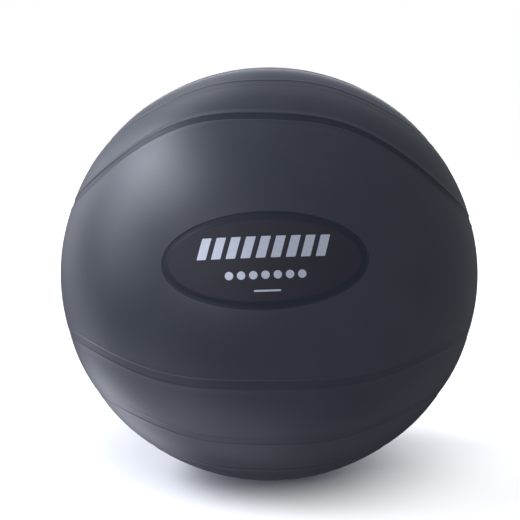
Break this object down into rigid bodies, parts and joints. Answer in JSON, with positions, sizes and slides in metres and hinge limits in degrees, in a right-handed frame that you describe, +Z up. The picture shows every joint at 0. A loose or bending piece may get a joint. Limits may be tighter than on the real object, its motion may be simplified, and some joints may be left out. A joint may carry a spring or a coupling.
{
  "type": "exercise ball",
  "caption": "Large inflatable exercise ball with a hollow moulded skin, shallow swept rings, an oval panel and a push-in air plug.",
  "frame": {"origin": "middle of the flat spot on which the ball rests, at floor level", "axes": "+Z up from the floor; -Y towards the oval panel on the front; +Y towards the valve on the back"},
  "size_m": [0.7498, 0.7495, 0.7398],
  "materials": {
    "skin": "satin",
    "plug": "satin"
  },
  "bodies": {
    "ball": {"ball_shell": "skin"},
    "plug": {"air_plug": "plug"}
  },
  "joints": [
    {"name": "plug_pull", "type": "slide", "parent": "ball", "child": "plug", "axis": [0.0175, 0.9875, -0.1564], "range_m": [0, 0.04]}
  ]
}
